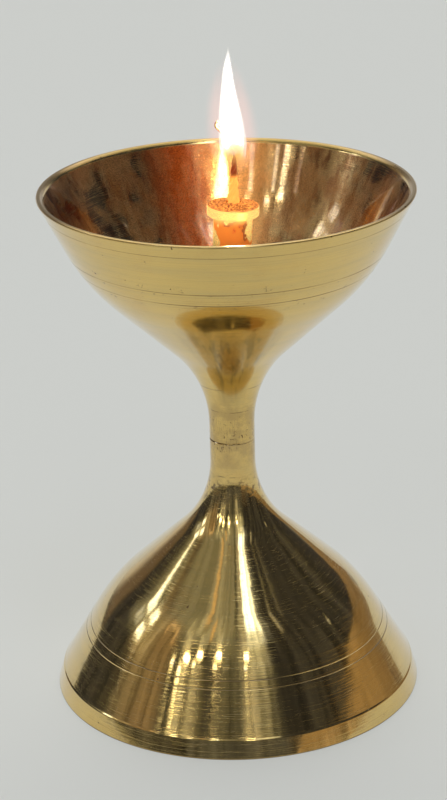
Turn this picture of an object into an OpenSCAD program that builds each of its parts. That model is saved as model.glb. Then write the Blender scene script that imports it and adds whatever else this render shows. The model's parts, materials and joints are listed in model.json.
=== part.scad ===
// Akhand diya: a turned brass oil lamp of two flared castings that meet at a slim stem.
// Origin at the centre of the foot's underside, +Z up along the lamp's axis. Millimetres.

/* [Bowl] */
// Diameter over the rim, which the foot matches
rim_d = 90; // [84:0.5:100]
// Height of the bowl and its half of the stem, from the seam to the rim
bowl_h = 63; // [60:0.5:70]
// Diameter at which the flaring cone and the steeper upper wall would meet
bowl_shoulder_d = 69.8; // [64:0.2:74]
// Height of that meeting above the seam
bowl_shoulder_h = 43; // [40:0.1:46]
// Radius that blends the cone into the upper wall
bowl_shoulder_r = 50; // [10:1:60]
// Height above the seam at which the stem and the cone would meet
bowl_neck_h = 15.4; // [14:0.1:18]
// Radius that blends the stem into the cone
bowl_neck_r = 27; // [15:1:34]
// Thickness of the bowl's wall
bowl_wall = 1.6; // [1.2:0.1:2.4]
// Height of the bowl's flat floor above the seam
bowl_floor_h = 23; // [22:0.5:26]
// Radius between the floor and the cone
bowl_floor_r = 3; // [1:0.5:6]
// Bevel on the inner edge of the rim
rim_bevel = 0.6; // [0.1:0.05:0.8]

/* [Base] */
// Height of the base and its half of the stem, from the table to the seam
base_h = 64.5; // [61:0.5:72]
// How much wider the foot is than the rim
foot_extra = 0.8; // [0:0.2:6]
// Height of the nearly upright band round the foot
band_h = 4.4; // [3:0.1:7]
// How much the band widens on each side from its crease to the table
band_flare = 1.5; // [0.4:0.1:2.4]
// Diameter at which the two cones of the base would meet
base_shoulder_d = 63.6; // [56:0.2:68]
// Height of that meeting above the table
base_shoulder_h = 24.5; // [21:0.1:28]
// Radius that blends the two cones
base_shoulder_r = 50; // [10:1:60]
// Depth below the seam at which the stem and the upper cone would meet
base_neck_drop = 16.2; // [14:0.1:18]
// Radius that blends the stem into the cone
base_neck_r = 24; // [15:1:30]
// Thickness of the base's wall
base_wall = 2; // [1.4:0.1:3]
// Width of the flat ring that stands on the table
foot_land = 2.6; // [1.6:0.1:4]
// Depth below the seam of the ceiling of the hollow under the base
hollow_drop = 25.5; // [22:0.5:30]
// Radius round the top of the hollow
hollow_r = 6; // [2:0.5:9]

/* [Stem and joining stud] */
// Diameter of the stem at the seam
stem_d = 11.1; // [10:0.1:13]
// Bevel on both edges of the seam
seam_bevel = 0.2; // [0.1:0.05:0.4]
// Diameter of the stud over its thread, a quarter inch
stud_d = 6.35; // [5:0.05:7]
// Length of the stud held in the bowl's half of the stem
stud_up = 10; // [8:0.5:12]
// Length of the stud that screws into the base
stud_down = 9; // [7:0.5:12]
// Bevel on the stud's ends
stud_bevel = 0.6; // [0.3:0.1:1]
// Clearance on each side of the stud in its two sockets
stud_fit = 0.05; // [0.02:0.01:0.1]
// Room left past each end of the stud
stud_room = 0.5; // [0.2:0.1:1]

/* [Wick holder] */
// Height from the bowl's floor to the top of the flange
holder_h = 36; // [32:0.5:40]
// Diameter of the tube
tube_d = 9.3; // [8.4:0.1:11]
// Diameter of the flange
flange_d = 12.4; // [11.6:0.1:16]
// Height of the flange's upright edge
flange_t = 2.4; // [1.6:0.1:3.5]
// Radius under the flange
cove_r = 0.8; // [0.3:0.1:1.2]
// Diameter of the shallow dish in the top of the flange
dish_d = 10.4; // [7:0.1:11]
// Depth of the dish
dish_depth = 0.9; // [0.4:0.1:1.4]
// Lean of the hand-fitted holder and its seat towards +X, in degrees
holder_lean = 2.5; // [0:0.5:4]
// Depth of the spot-face that the tube stands in
spot_depth = 0.5; // [0.4:0.1:0.8]
// Diameter of the peg that stands in the bowl's floor
peg_d = 6; // [4:0.1:7]
// Length of the peg below the spot-face
peg_l = 4.5; // [3:0.5:5]
// Clearance on each side of the peg and the tube in their seats
peg_fit = 0.05; // [0.02:0.01:0.1]
// Room left under the peg
peg_room = 0.4; // [0.2:0.1:0.8]
// Bevel on the peg's end
peg_bevel = 0.5; // [0.2:0.1:1]
// Height of the bore's closed end above the bowl's floor
bore_floor = 2; // [1:0.5:4]
// Diameter of the oil holes drilled across the tube
feed_d = 2.8; // [1.5:0.1:4]
// Height of the oil holes above the bowl's floor
feed_h = 5; // [4:0.5:7]

/* [Wick, oil and flame] */
// Diameter of the wick in the holder
wick_d = 3.3; // [2.5:0.1:4]
// Clearance on each side of the wick in its bore
wick_fit = 0.2; // [0.1:0.05:0.4]
// Room left under the wick
wick_room = 0.3; // [0.2:0.1:0.8]
// Height of the wick's tip above the flange
wick_proud = 11.5; // [8:0.5:14]
// Diameter of the wick where the charred end begins
char_d = 2; // [1.2:0.1:2.4]
// Length of the charred end
char_l = 4.4; // [2:0.1:5.5]
// Diameter of the wick's tip
tip_d = 0.8; // [0.4:0.1:1.1]
// Depth of the oil over the bowl's floor
oil_depth = 10.5; // [4:0.5:16]
// Gap between the oil and the metal round it
oil_gap = 0.2; // [0.1:0.05:0.4]
// Height of the flame
flame_h = 33; // [20:0.5:45]
// Greatest diameter of the flame
flame_d = 6.5; // [5:0.1:9]
// How far below the wick's tip the flame begins
flame_drop = 5; // [2:0.5:5.5]
// Gap between the flame and the wick inside it
flame_gap = 0.1; // [0.05:0.05:0.3]

/* [Incised lines] */
// Depth of each turned line, which is twice as wide
line_depth = 0.22; // [0.1:0.02:0.4]
// Distance of the single line under the rim
rim_line_drop = 3.2; // [2:0.1:5]
// Distance below the rim of the upper line of the bowl's pair
bowl_pair_drop = 13.55; // [9:0.05:16]
// Distance between the two lines of the bowl's pair
bowl_pair_gap = 3.25; // [1.5:0.05:4]
// Height above the table of the lower line of the base's pair
base_pair_h = 14.6; // [8:0.1:18]
// Distance between the two lines of the base's pair
base_pair_gap = 1.9; // [1:0.1:4]

/* [Hidden] */
$fn = 96;
// Degrees turned by each straight step of a rounded outline
arc_step = 3;
// Points up one side of the flame
flame_steps = 24;
brass = "#c8a24e";
cotton = "#e9dcc0";
oil = "#d8a428";
fire = "#ffd890";
// Heights on the lamp's axis, above the table
seam_z = base_h;
rim_z = seam_z + bowl_h;
floor_z = seam_z + bowl_floor_h;
ceiling_z = base_h - hollow_drop;
// Distances along the holder's axis, above the bowl's floor
wick_foot = bore_floor + wick_room;
wick_tip = holder_h + wick_proud;
// Width of the foot, and radii that two pieces share
foot_d = rim_d + foot_extra;
stem_r = stem_d / 2;
socket_r = stud_d / 2 + stud_fit;
bore_r = wick_d / 2 + wick_fit;
// Corners of the outer outline, before they are rounded
bowl_neck = [stem_r, seam_z + bowl_neck_h];
bowl_shoulder = [bowl_shoulder_d / 2, seam_z + bowl_shoulder_h];
rim = [rim_d / 2, rim_z];
base_neck = [stem_r, seam_z - base_neck_drop];
base_shoulder = [base_shoulder_d / 2, base_shoulder_h];
crease = [foot_d / 2 - band_flare, band_h];

// The direction of v
function unit(v) = v / norm(v);

// The line from a to b, moved by a distance to its left
function beside(a, b, by) =
    let (n = unit([a.y - b.y, b.x - a.x]))
    [a + n * by, b + n * by];

// The point where line p meets line q
function meet(p, q) =
    let (u = p[1] - p[0], w = q[1] - q[0])
    p[0] + u * cross(q[0] - p[0], w) / cross(u, w);

// The point of line p at a height
function at_height(p, h) =
    let (u = p[1] - p[0])
    p[0] + u * (h - p[0].y) / u.y;

// Arc that rounds corner b between a and c, no longer than the room beside the corner
function rounded_corner(a, b, c, radius, room) =
    let (
        u = unit(a - b),
        w = unit(c - b),
        half = acos(u * w) / 2,
        reach = min(radius / tan(half), room),
        r = reach * tan(half),
        centre = b + unit(u + w) * r / sin(half),
        first = b + u * reach - centre,
        last = b + w * reach - centre,
        start = atan2(first.y, first.x),
        sweep = atan2(cross(first, last), first * last),
        steps = max(1, ceil(abs(sweep) / arc_step))
    )
    [for (i = [0:steps]) centre + r * [cos(start + sweep * i / steps), sin(start + sweep * i / steps)]];

// A corner to be rounded with a radius, as one entry of an outline
function round_at(p, radius) = [p.x, p.y, radius];

// Length of the stretch from entry i to j that a rounding at i may use: half if j is rounded too
function room(entries, i, j) =
    let (a = entries[i], b = entries[j])
    norm([b.x - a.x, b.y - a.y]) * (len(b) == 3 ? 0.5 : 0.99);

// Points of an open outline whose entries are sharp points or corners to be rounded
function outline(entries) = [
    for (i = [0:len(entries) - 1])
        let (e = entries[i], p = [e.x, e.y])
        each len(e) == 2 ? [p] : rounded_corner(
            [entries[i - 1].x, entries[i - 1].y],
            p,
            [entries[i + 1].x, entries[i + 1].y],
            e.z,
            min(room(entries, i, i - 1), room(entries, i, i + 1))
        )
];

// Outside of the bowl, from the seam up to the rim
bowl_outside = outline([
    [stem_r - seam_bevel, seam_z],
    [stem_r, seam_z + seam_bevel],
    round_at(bowl_neck, bowl_neck_r),
    round_at(bowl_shoulder, bowl_shoulder_r),
    rim
]);
// The bowl's inner wall, parallel to the outer one, from the rim down to the middle of its floor
bowl_inner_cone = beside(bowl_neck, bowl_shoulder, bowl_wall);
bowl_inner_wall = beside(bowl_shoulder, rim, bowl_wall);
rim_inner = at_height(bowl_inner_wall, rim_z);
bowl_inside = outline([
    rim_inner + [rim_bevel, 0],
    at_height(bowl_inner_wall, rim_z - rim_bevel),
    round_at(meet(bowl_inner_cone, bowl_inner_wall), bowl_shoulder_r - bowl_wall),
    round_at(at_height(bowl_inner_cone, floor_z), bowl_floor_r),
    [0, floor_z]
]);

// Outside of the base, from the seam down to the table
base_outside = outline([
    [stem_r - seam_bevel, seam_z],
    [stem_r, seam_z - seam_bevel],
    round_at(base_neck, base_neck_r),
    round_at(base_shoulder, base_shoulder_r),
    crease,
    [foot_d / 2, 0]
]);
// The hollow under the base, parallel to its outside, from the table up to its ceiling
base_inner_cone = beside(base_neck, base_shoulder, -base_wall);
base_inner_wall = beside(base_shoulder, crease, -base_wall);
base_inside = outline([
    [foot_d / 2 - foot_land, 0],
    at_height(base_inner_wall, band_h),
    round_at(meet(base_inner_cone, base_inner_wall), base_shoulder_r - base_wall),
    round_at(at_height(base_inner_cone, ceiling_z), hollow_r),
    [0, ceiling_z]
]);

// The wick standing in its bore, cut to a charred point, with its sides moved out by a margin
function wick_side(margin) = [
    [0, wick_foot],
    [wick_d / 2 + margin, wick_foot],
    [wick_d / 2 + margin, holder_h - dish_depth],
    [char_d / 2 + margin, wick_tip - char_l],
    [tip_d / 2 + margin, wick_tip + margin],
    [0, wick_tip + margin]
];

// Radius of the flame at a share t of its height: widest at a third, drawn to a point above
function flame_radius(t) = flame_d / 2 * sqrt(3 * t) * (1 - t) * 3 / 2;

// Places what is measured from the bowl's floor along the leaning axis of the holder
module on_holder_axis() {
    translate([0, 0, floor_z])
        rotate([0, holder_lean, 0])
            children();
}

// A turned line cut into an outline at a height
module turned_line(side, h) {
    r = lookup(h, [for (p = side) [p.y, p.x]]);
    translate([r, h])
        rotate(45)
            square(line_depth * sqrt(2), center = true);
}

module base() {
    color(brass)
        rotate_extrude()
            difference() {
                polygon(concat(
                    base_outside,
                    base_inside,
                    [
                        [0, seam_z - stud_down - stud_room],
                        [socket_r, seam_z - stud_down - stud_room],
                        [socket_r, seam_z]
                    ]
                ));
                turned_line(base_outside, base_pair_h);
                turned_line(base_outside, base_pair_h + base_pair_gap);
            }
}

module joining_stud() {
    r = stud_d / 2;
    low = seam_z - stud_down;
    high = seam_z + stud_up;
    color(brass)
        rotate_extrude()
            polygon([
                [0, low],
                [r - stud_bevel, low],
                [r, low + stud_bevel],
                [r, high - stud_bevel],
                [r - stud_bevel, high],
                [0, high]
            ]);
}

module bowl() {
    color(brass)
        difference() {
            rotate_extrude()
                difference() {
                    polygon(concat(
                        bowl_outside,
                        bowl_inside,
                        [
                            [0, seam_z + stud_up + stud_room],
                            [socket_r, seam_z + stud_up + stud_room],
                            [socket_r, seam_z]
                        ]
                    ));
                    turned_line(bowl_outside, rim_z - rim_line_drop);
                    turned_line(bowl_outside, rim_z - bowl_pair_drop);
                    turned_line(bowl_outside, rim_z - bowl_pair_drop - bowl_pair_gap);
                }
            on_holder_axis()
                holder_seat();
        }
}

// The spot-face and the blind hole that the holder stands in
module holder_seat() {
    depth = peg_l + peg_room;
    translate([0, 0, -spot_depth])
        cylinder(r = tube_d / 2 + peg_fit, h = 2 * spot_depth);
    translate([0, 0, -spot_depth - depth])
        cylinder(r = peg_d / 2 + peg_fit, h = depth + spot_depth);
}

module lamp_oil() {
    wall = beside(bowl_neck, bowl_shoulder, bowl_wall + oil_gap);
    color(oil, 0.6)
        difference() {
            rotate_extrude()
                polygon(outline([
                    [0, floor_z + oil_gap],
                    round_at(at_height(wall, floor_z + oil_gap), bowl_floor_r),
                    at_height(wall, floor_z + oil_depth),
                    [0, floor_z + oil_depth]
                ]));
            on_holder_axis()
                cylinder(r = tube_d / 2 + oil_gap, h = 4 * oil_depth, center = true);
        }
}

module wick_holder() {
    tube_r = tube_d / 2;
    flange_r = flange_d / 2;
    peg_foot = -spot_depth - peg_l;
    color(brass)
        on_holder_axis()
            difference() {
                rotate_extrude()
                    polygon(outline([
                        [0, peg_foot],
                        [peg_d / 2 - peg_bevel, peg_foot],
                        [peg_d / 2, peg_foot + peg_bevel],
                        [peg_d / 2, -spot_depth],
                        [tube_r, -spot_depth],
                        [tube_r, holder_h - flange_t, cove_r],
                        [flange_r, holder_h - flange_t],
                        [flange_r, holder_h],
                        [dish_d / 2, holder_h],
                        [bore_r, holder_h - dish_depth],
                        [bore_r, bore_floor],
                        [0, bore_floor]
                    ]));
                for (turn = [0, 90])
                    translate([0, 0, feed_h])
                        rotate([90, 0, turn])
                            cylinder(d = feed_d, h = 2 * tube_d, center = true);
            }
}

module wick() {
    color(cotton)
        on_holder_axis()
            rotate_extrude()
                polygon(wick_side(0));
}

// The flame stands upright over the leaning wick's tip
module flame() {
    foot = [sin(holder_lean) * wick_tip, 0, floor_z + cos(holder_lean) * wick_tip - flame_drop];
    color(fire, 0.8)
        difference() {
            translate(foot)
                rotate_extrude()
                    polygon([
                        for (i = [0:flame_steps])
                            let (t = i / flame_steps)
                            [flame_radius(t), flame_h * t]
                    ]);
            on_holder_axis()
                rotate_extrude()
                    polygon(wick_side(flame_gap));
        }
}

base();
joining_stud();
bowl();
lamp_oil();
wick_holder();
wick();
flame();
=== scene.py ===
"""Looks of a lit brass akhand diya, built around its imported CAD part. Lengths are in millimetres until MM."""

import json
import math
import random

import bpy
from mathutils import Matrix, Vector, noise


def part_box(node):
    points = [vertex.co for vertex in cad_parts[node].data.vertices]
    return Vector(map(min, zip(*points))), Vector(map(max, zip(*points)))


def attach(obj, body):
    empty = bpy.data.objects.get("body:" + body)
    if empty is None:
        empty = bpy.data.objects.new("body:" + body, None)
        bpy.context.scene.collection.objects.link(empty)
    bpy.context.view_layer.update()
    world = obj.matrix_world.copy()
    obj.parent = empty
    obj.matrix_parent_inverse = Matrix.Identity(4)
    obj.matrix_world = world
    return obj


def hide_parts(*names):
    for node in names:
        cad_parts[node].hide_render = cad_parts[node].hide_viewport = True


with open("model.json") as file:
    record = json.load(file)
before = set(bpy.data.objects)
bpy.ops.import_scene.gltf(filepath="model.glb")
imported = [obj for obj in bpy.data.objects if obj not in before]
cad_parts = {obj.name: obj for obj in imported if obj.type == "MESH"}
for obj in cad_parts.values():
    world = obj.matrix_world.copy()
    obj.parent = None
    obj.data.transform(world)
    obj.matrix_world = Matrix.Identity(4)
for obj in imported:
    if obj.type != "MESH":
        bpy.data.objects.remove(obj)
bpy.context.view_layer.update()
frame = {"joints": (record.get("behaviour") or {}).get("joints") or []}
MM = 0.001
dice = random.Random(7)

# Sizes that the CAD part gives
bowl_low, bowl_high = (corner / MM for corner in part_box("bowl"))
base_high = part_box("base")[1] / MM
stud_low, stud_high = (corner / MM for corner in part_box("joining_stud"))
SEAM_Z = bowl_low.z
RIM_Z = bowl_high.z
RIM_R = bowl_high.x
FOOT_R = base_high.x
STUD_R = stud_high.x
LEAN_AXIS = Vector(next(j["axis"] for j in frame["joints"] if j["name"] == "holder_lift"))

# Outlines, as in the CAD part
STEM_R = 5.55
SEAM_BEVEL = 0.2
SEAM_EDGE = 0.1
BOWL_NECK = (STEM_R, SEAM_Z + 15.4)
BOWL_SHOULDER = (34.9, SEAM_Z + 43)
BOWL_NECK_ROUND = 27
BOWL_SHOULDER_ROUND = 50
BOWL_WALL = 1.6
FLOOR_Z = SEAM_Z + 23
FLOOR_ROUND = 3
BASE_NECK = (STEM_R, SEAM_Z - 16.2)
BASE_SHOULDER = (31.8, 24.5)
BASE_NECK_ROUND = 24
BASE_SHOULDER_ROUND = 50
BASE_WALL = 2
CREASE = (FOOT_R - 1.5, 4.4)
FOOT_LAND = 2.6
FOOT_EDGE = 0.25
HOLLOW_EDGE = 1.5
CEILING_Z = SEAM_Z - 25.5
CEILING_ROUND = 6
ARC_STEP_DEGREES = 2.0

# Cut lines, as (height, darkness), and fainter marks of the tool
LINE_DEPTH = 0.06
BOWL_LINES = ((RIM_Z - 3.2, 0.45), (RIM_Z - 13.55, 0.85), (RIM_Z - 16.8, 0.85))
BASE_LINES = ((14.6, 0.88), (16.5, 0.88))
SEAM_LINE = (SEAM_Z, 0.95)
BOWL_TOOL_MARKS = (SEAM_Z + 8.4, SEAM_Z + 14.9)
BASE_TOOL_MARKS = (SEAM_Z - 8.6,)

# Wear of the seam, and the lip over the foot band
WEAR_REACH = 0.45
NICK_DEPTH = 0.28
WORN_SHUT = 0.03
LIP_W = 0.45
LIP_RISE = 0.08
LIP_EDGE = 0.7

# Sockets and edges
SOCKET_R = STUD_R + 0.05
STUD_ROOM = 0.5
STUD_BEVEL = 0.6
EDGE = 0.15
RIM_EDGE = 0.35
RIM_BEVEL = 0.6
RIM_LAND = 0.4

# The wick holder, along its own axis from the bowl's floor
HOLDER_H = 36
TUBE_R = 4.65
FLANGE_R = 6.2
FLANGE_T = 2.4
FLANGE_EDGES = (0.3, 0.25)
COVE = 0.8
DISH_R = 5.2
DISH_DEPTH = 0.9
DISH_RINGS = 14
CRUST_RISE = 0.9
CRUST_LUMPS = 0.2
BORE_R = 1.85
BORE_FLOOR = 2
SPOT_DEPTH = 0.5
PEG_R = 3
PEG_FOOT = -5
PEG_EDGE = 0.5
SEAT_FOOT = -5.4
SEAT_SLACK = 0.22
FEED_R = 1.4
FEED_H = 5

# What burns
WICK_R = 1.65
WICK_FOOT = 2.3
CHAR_R = 1.0
TIP_R = 0.42
TIP_H = HOLDER_H + 11.5
CHAR_H = TIP_H - 4.4
TWIST = 6.5
STRANDS = 3
FIBRES = 90
FIBRE_RADII = (0.035, 0.032, 0.026, 0.012)
CURL = (
    (0.1, 0, -2.2), (0, -0.1, 0.4), (-0.7, -0.2, 2.6), (-1.9, -0.2, 4.6), (-3.2, -0.15, 6.0),
    (-3.9, -0.1, 6.8), (-4.4, -0.1, 7.5), (-4.3, -0.1, 8.3), (-3.9, -0.1, 8.6),
)
OIL_DEPTH = 10.5
OIL_FOOT = FLOOR_Z + 0.05
OIL_INSET = 0.03
OIL_HOLE_R = TUBE_R + 0.2
MENISCUS = 0.35
FLAME_R = 3.25
FLAME_SHAPE = (
    (0, 0.2), (0.05, 0.5), (0.12, 0.8), (0.26, 1.0), (0.40, 0.91), (0.55, 0.79), (0.70, 0.62),
    (0.78, 0.52), (0.86, 0.31), (0.93, 0.11), (0.97, 0.03), (1, 0.0),
)
FLAME_DROP = 5
FLAME_SWAY = -1.07
FLAME_SLIM = 0.32
FLAME_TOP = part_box("flame")[1].z / MM - 0.1
THREAD_PITCH = 1.27
THREAD_DEPTH = 0.65


def unit(v):
    """A vector of length 1 in the same direction."""
    return v / v.length


def beside(a, b, by):
    """The line from a to b, moved by a distance to its left."""
    a, b = Vector(a), Vector(b)
    n = unit(Vector((a.y - b.y, b.x - a.x))) * by
    return a + n, b + n


def meet(p, q):
    """The point where line p meets line q."""
    u, w = p[1] - p[0], q[1] - q[0]
    return p[0] + u * ((q[0] - p[0]).cross(w) / u.cross(w))


def at_height(p, h):
    """The point of line p at a height."""
    u = p[1] - p[0]
    return p[0] + u * ((h - p[0].y) / u.y)


def rounded_corner(a, b, c, radius):
    """Arc that rounds corner b between a and c."""
    u, w = unit(a - b), unit(c - b)
    half = u.angle(w) / 2
    reach = min(radius / math.tan(half), 0.99 * (a - b).length, 0.99 * (c - b).length)
    r = reach * math.tan(half)
    centre = b + unit(u + w) * (r / math.sin(half))
    first, last = b + u * reach - centre, b + w * reach - centre
    start = math.atan2(first.y, first.x)
    sweep = math.atan2(first.cross(last), first.dot(last))
    steps = max(3, math.ceil(abs(math.degrees(sweep)) / ARC_STEP_DEGREES))
    if radius < 1:
        steps = 4
    turns = [start + sweep * i / steps for i in range(steps + 1)]
    return [centre + r * Vector((math.cos(t), math.sin(t))) for t in turns]


def outline(entries):
    """Points of an outline whose entries are sharp points (r, z) or corners to be rounded (r, z, radius)."""
    points = []
    for i, e in enumerate(entries):
        p = Vector(e[:2])
        if len(e) == 2:
            points.append(p)
        else:
            points += rounded_corner(Vector(entries[i - 1][:2]), p, Vector(entries[i + 1][:2]), e[2])
    return points


def with_lines(points, lines):
    """The outline with a fine turned line cut into its first stretch at each height of (height, darkness)."""
    for h, _ in lines:
        i = next(k for k in range(len(points) - 1) if (points[k].y - h) * (points[k + 1].y - h) <= 0)
        along = unit(points[i + 1] - points[i])
        inward = Vector((-along.y, along.x))
        if inward.x > 0:
            inward = -inward
        middle = at_height((points[i], points[i + 1]), h)
        steps = ((-1.25, 0), (-1, 0.12), (-0.4, 0.85), (0, 1), (0.4, 0.85), (1, 0.12), (1.25, 0))
        cut = [middle + along * (LINE_DEPTH * s) + inward * (LINE_DEPTH * d) for s, d in steps]
        keep_low = [p for p in points[: i + 1] if (p - middle).length > 1.3 * LINE_DEPTH]
        keep_high = [p for p in points[i + 1 :] if (p - middle).length > 1.3 * LINE_DEPTH]
        points = keep_low + cut + keep_high
    return points


def supported(points):
    """The outline with a point close to each corner, so that shading turns only at the corner itself."""
    turned = [False] * len(points)
    for i in range(1, len(points) - 1):
        a, b = points[i] - points[i - 1], points[i + 1] - points[i]
        turned[i] = a.length > 0 and b.length > 0 and a.angle(b) > math.radians(8)
    result = [points[0]]
    for i in range(1, len(points)):
        a, b = points[i - 1], points[i]
        length = (b - a).length
        near = min(0.08, length / 3)
        if length > 0.1 and turned[i - 1]:
            result.append(a + unit(b - a) * near)
        if length > 0.1 and turned[i]:
            result.append(b - unit(b - a) * near)
        result.append(b)
    return result


def add_object(name, verts, faces, smooth_angle=40):
    """A smooth-shaded mesh object from vertices in millimetres."""
    mesh = bpy.data.meshes.new(name)
    mesh.from_pydata([Vector(v) * MM for v in verts], [], faces)
    mesh.validate()
    mesh.polygons.foreach_set("use_smooth", [True] * len(mesh.polygons))
    mesh.set_sharp_from_angle(angle=math.radians(smooth_angle))
    obj = bpy.data.objects.new(name, mesh)
    bpy.context.scene.collection.objects.link(obj)
    return obj


def lathe(name, outside, inside=(), turns=240, wobble=None):
    """A closed solid turned about the axis. Points on the axis become poles. wobble(p, turn) moves a point.

    Points of the inside list are marked in the mesh's attribute "inside", for the finish."""
    verts, rows, faces = [], [], []
    outside, inside = supported(list(outside)), supported(list(inside)) if inside else []
    outer_verts = None
    for i, p in enumerate(outside + inside):
        if i == len(outside):
            outer_verts = len(verts)
        if p.x < 1e-6:
            rows.append([len(verts)] * turns)
            verts.append((0, 0, p.y))
            continue
        rows.append(range(len(verts), len(verts) + turns))
        for k in range(turns):
            turn = 2 * math.pi * k / turns
            q = wobble(p, turn) if wobble else p
            verts.append((q.x * math.cos(turn), q.x * math.sin(turn), q.y))
    for low, high in zip(rows, rows[1:]):
        for k in range(turns):
            n = (k + 1) % turns
            corners = [low[k], low[n], high[n], high[k]]
            face = [v for i, v in enumerate(corners) if v != corners[i - 1]]
            if len(face) > 2:
                faces.append(face)
    obj = add_object(name, verts, faces)
    marks = obj.data.attributes.new("inside", "FLOAT", "POINT").data
    first = len(verts) if outer_verts is None else outer_verts
    marks.foreach_set("value", [float(i >= first) for i in range(len(verts))])
    return obj


def on_holder_axis(obj):
    """Tilts what was made upright from a zero at the bowl's floor onto the holder's own axis."""
    tilt = Vector((0, 0, 1)).rotation_difference(LEAN_AXIS).to_matrix().to_4x4()
    obj.data.transform(Matrix.Translation((0, 0, FLOOR_Z * MM)) @ tilt)
    return obj


def tube(path, radii, sides):
    """Vertices and faces of a closed tube along a path of points."""
    verts, faces = [], []
    side = Vector((0, 1, 0))
    for i, p in enumerate(path):
        ahead = unit(path[min(i + 1, len(path) - 1)] - path[max(i - 1, 0)])
        side = unit(side - ahead * side.dot(ahead))
        up = ahead.cross(side)
        for k in range(sides):
            a = 2 * math.pi * k / sides
            verts.append(p + (side * math.cos(a) + up * math.sin(a)) * radii[i])
    for i in range(len(path) - 1):
        for k in range(sides):
            n = (k + 1) % sides
            low, high = i * sides, (i + 1) * sides
            faces.append((low + k, low + n, high + n, high + k))
    faces.append(tuple(reversed(range(sides))))
    faces.append(tuple(range(len(verts) - sides, len(verts))))
    return verts, faces


def curved(points):
    """A smooth path through the points."""
    ends = [2 * points[0] - points[1]] + points + [2 * points[-1] - points[-2]]
    path, steps = [], 6
    for a, b, c, d in zip(ends, ends[1:], ends[2:], ends[3:]):
        for k in range(steps):
            t = k / steps
            bend, twist = 2 * a - 5 * b + 4 * c - d, 3 * b - a - 3 * c + d
            path.append(0.5 * (2 * b + (c - a) * t + bend * t ** 2 + twist * t ** 3))
    return path + [points[-1]]


def joined(parts):
    """Several lots of vertices and faces as one."""
    verts, faces = [], []
    for v, f in parts:
        faces += [tuple(i + len(verts) for i in face) for face in f]
        verts += v
    return verts, faces


def eased(t):
    """0 to 1 with a soft start and end."""
    t = min(1.0, max(0.0, t))
    return t * t * (3 - 2 * t)


def seam_wear(p, turn):
    """Nicks at the seam where the two castings meet, which polishing has drawn shut towards the right."""
    near = max(0.0, 1 - abs(p.y - SEAM_Z) / WEAR_REACH)
    if near == 0 or p.x < STEM_R - 1:
        return p
    spot = Vector((math.cos(turn) * 4, math.sin(turn) * 4, 3.7))
    nick = max(0.0, noise.noise(spot) + 0.35 * noise.noise(spot * 4) - 0.12)
    closed = eased(0.6 + 0.75 * math.cos(turn) + 0.3 * math.sin(11 * turn + 1))
    filled = max(p.x, STEM_R - WORN_SHUT)
    return Vector((p.x + (filled - p.x) * closed - NICK_DEPTH * near * nick * (1 - closed), p.y))


def make_base():
    """The bell with its half of the stem, hollow below."""
    cone = beside(BASE_NECK, BASE_SHOULDER, -BASE_WALL)
    wall = beside(BASE_SHOULDER, CREASE, -BASE_WALL)
    socket_z = stud_low.z - STUD_ROOM
    skirt = unit(Vector(CREASE) - Vector(BASE_SHOULDER))
    lip = Vector(CREASE) + Vector((-skirt.y, skirt.x)) * LIP_RISE
    outside = outline([
        (STEM_R - SEAM_BEVEL, SEAM_Z),
        (STEM_R, SEAM_Z - SEAM_BEVEL, SEAM_EDGE),
        (*BASE_NECK, BASE_NECK_ROUND),
        (*BASE_SHOULDER, BASE_SHOULDER_ROUND),
        Vector(CREASE) - skirt * LIP_W,
        (*lip, LIP_EDGE),
        (FOOT_R, 0, FOOT_EDGE),
        (FOOT_R - FOOT_LAND, 0),
    ])
    inside = outline([
        (FOOT_R - FOOT_LAND, 0),
        (*at_height(wall, CREASE[1]), HOLLOW_EDGE),
        (*meet(cone, wall), BASE_SHOULDER_ROUND - BASE_WALL),
        (*at_height(cone, CEILING_Z), CEILING_ROUND),
        (0, CEILING_Z),
    ])[1:]
    socket = [Vector(p) for p in ((0, socket_z), (SOCKET_R, socket_z), (SOCKET_R, SEAM_Z))]
    return lathe("base_bell", socket + with_lines(outside, BASE_LINES), inside, wobble=seam_wear)


def make_bowl():
    """The cup with its half of the stem, the holder's seat in its floor and the stud's socket below."""
    cone = beside(BOWL_NECK, BOWL_SHOULDER, BOWL_WALL)
    wall = beside(BOWL_SHOULDER, (RIM_R, RIM_Z), BOWL_WALL)
    rim_inner = at_height(wall, RIM_Z)
    socket_z = stud_high.z + STUD_ROOM
    spot_r, seat_r = TUBE_R + SEAT_SLACK, PEG_R + SEAT_SLACK
    outside = outline([
        (STEM_R - SEAM_BEVEL, SEAM_Z),
        (STEM_R, SEAM_Z + SEAM_BEVEL, SEAM_EDGE),
        (*BOWL_NECK, BOWL_NECK_ROUND),
        (*BOWL_SHOULDER, BOWL_SHOULDER_ROUND),
        (RIM_R, RIM_Z, RIM_EDGE),
        (rim_inner.x + RIM_BEVEL, RIM_Z, EDGE),
        at_height(wall, RIM_Z - RIM_BEVEL),
    ])
    inside = outline([
        at_height(wall, RIM_Z - RIM_BEVEL),
        at_height(wall, RIM_Z - RIM_BEVEL - RIM_LAND),
        (*meet(cone, wall), BOWL_SHOULDER_ROUND - BOWL_WALL),
        (*at_height(cone, FLOOR_Z), FLOOR_ROUND),
        (spot_r, FLOOR_Z, EDGE),
        (spot_r, FLOOR_Z - SPOT_DEPTH),
        (seat_r, FLOOR_Z - SPOT_DEPTH),
        (seat_r, FLOOR_Z + SEAT_FOOT),
        (0, FLOOR_Z + SEAT_FOOT),
    ])[1:]
    socket = [Vector(p) for p in ((0, socket_z), (SOCKET_R, socket_z), (SOCKET_R, SEAM_Z))]
    return lathe("oil_bowl", socket + with_lines(outside, BOWL_LINES), inside, wobble=seam_wear)


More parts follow.
